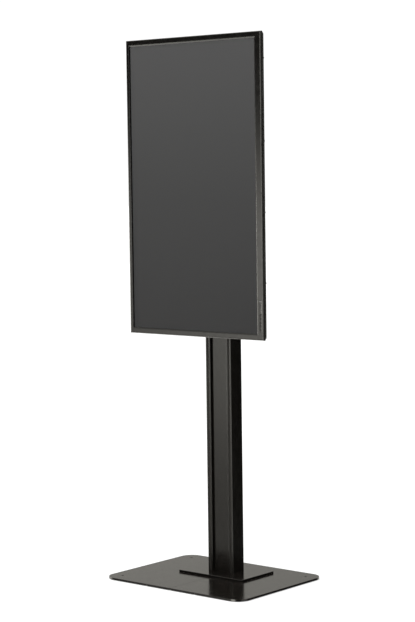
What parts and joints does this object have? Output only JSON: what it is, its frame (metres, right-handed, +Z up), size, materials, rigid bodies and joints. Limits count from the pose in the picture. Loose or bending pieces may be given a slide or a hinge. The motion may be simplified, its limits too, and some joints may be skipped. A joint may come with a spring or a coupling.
{
  "type": "touchscreen kiosk",
  "caption": "Upright touch display hung on a floor-standing metal column with a flat steel base plate, for visitor information in museums and exhibitions.",
  "frame": {"origin": "middle of the base at floor level", "axes": "+Z up, -Y is the side the screen faces, +X to the right of a person facing the screen"},
  "size_m": [0.655, 0.495, 1.993],
  "materials": {
    "base_steel": "fine-textured black-grey powder coat, semi-gloss",
    "foot_steel": "fine-textured black-grey powder coat, semi-gloss",
    "column_coat": "black powder coat, satin",
    "strip_coat": "black powder coat, satin",
    "inlay_plastic": "matt",
    "pad_rubber": "matt",
    "zinc_screws": "zinc plated",
    "black_screws": "black oxide",
    "mount_steel": "black powder coat",
    "bezel_coat": "black coat, satin",
    "filter_plastic": "dark filter plastic, polished",
    "circuit_board": "solder resist",
    "screen_glass": "anti-glare",
    "foam": "closed-cell foam",
    "lcd_dark": "anti-glare panel, off",
    "panel_steel": "galvanised sheet",
    "frame_plastic": "moulded",
    "optical_film": "white diffusing film",
    "clear_acrylic": "polished acrylic",
    "led_metal": "bare metal-core board",
    "standoff_brass": "turned",
    "wire_sleeve": "insulated wire",
    "socket_metal": "tin plated",
    "socket_plastic": "moulded",
    "cover_coat": "black powder coat, fine texture",
    "strip_plastic": "satin",
    "light_lens": "translucent lens",
    "key_plastic": "satin"
  },
  "bodies": {
    "stand": {"base_plate_left": "base_steel", "base_plate_right": "base_steel", "floor_pads": "pad_rubber", "foot_plate": "foot_steel", "base_screws": "zinc_screws", "column_screws": "zinc_screws", "column_profile": "column_coat", "front_cover_strip": "strip_coat", "rear_cover_strip": "strip_coat", "slot_covers": "inlay_plastic", "cable_grommet": "pad_rubber", "column_top_cap": "column_coat", "cap_screws": "black_screws"},
    "head": {"mount_carriage": "mount_steel", "slot_nuts": "zinc_screws", "carriage_bolts": "black_screws", "hook_rails": "mount_steel", "rail_bolts": "black_screws", "mount_arm_left": "mount_steel", "mount_arm_right": "mount_steel", "display_screws": "zinc_screws", "arm_lock_screws": "zinc_screws", "front_bezel": "bezel_coat", "touch_filter_frame": "filter_plastic", "touch_sensor_boards": "circuit_board", "touch_glass": "screen_glass", "glass_gasket": "foam", "lcd_cell": "lcd_dark", "panel_front_frame": "panel_steel", "panel_mid_frame": "frame_plastic", "optical_sheets": "optical_film", "light_guide": "clear_acrylic", "reflector_sheet": "optical_film", "led_bars": "led_metal", "panel_chassis": "panel_steel", "chassis_brackets": "panel_steel", "power_board": "circuit_board", "main_board": "circuit_board", "timing_board": "circuit_board", "touch_controller": "circuit_board", "board_standoffs": "standoff_brass", "board_screws": "zinc_screws", "internal_wiring": "wire_sleeve", "speakers": "frame_plastic", "signal_sockets": "socket_metal", "mains_inlet": "socket_plastic", "switch_frame": "socket_plastic", "rear_cover": "cover_coat", "rear_cover_screws": "black_screws", "control_strip": "strip_plastic", "receiver_window": "filter_plastic", "status_light": "light_lens", "control_board": "circuit_board"},
    "rocker": {"switch_rocker": "socket_plastic"},
    "key_power": {"key_power": "key_plastic"},
    "key_menu": {"key_menu": "key_plastic"},
    "key_up": {"key_up": "key_plastic"},
    "key_down": {"key_down": "key_plastic"},
    "key_source": {"key_source": "key_plastic"}
  },
  "joints": [
    {"name": "head_height", "type": "slide", "parent": "stand", "child": "head", "axis": [0, 0, 1], "range_m": [-0.15, 0.1]},
    {"name": "rocker_swing", "type": "hinge", "parent": "head", "child": "rocker", "pos_m": [0.2565, -0.034, 1.3425], "axis": [0, 1, 0], "range_deg": [0, 18]},
    {"name": "key_power_press", "type": "slide", "parent": "head", "child": "key_power", "axis": [0, 1, 0], "range_m": [0, 0.0006], "stiffness_N_per_m": 400, "springref_m": -0.0005},
    {"name": "key_menu_press", "type": "slide", "parent": "head", "child": "key_menu", "axis": [0, 1, 0], "range_m": [0, 0.0006], "stiffness_N_per_m": 400, "springref_m": -0.0005},
    {"name": "key_up_press", "type": "slide", "parent": "head", "child": "key_up", "axis": [0, 1, 0], "range_m": [0, 0.0006], "stiffness_N_per_m": 400, "springref_m": -0.0005},
    {"name": "key_down_press", "type": "slide", "parent": "head", "child": "key_down", "axis": [0, 1, 0], "range_m": [0, 0.0006], "stiffness_N_per_m": 400, "springref_m": -0.0005},
    {"name": "key_source_press", "type": "slide", "parent": "head", "child": "key_source", "axis": [0, 1, 0], "range_m": [0, 0.0006], "stiffness_N_per_m": 400, "springref_m": -0.0005}
  ]
}
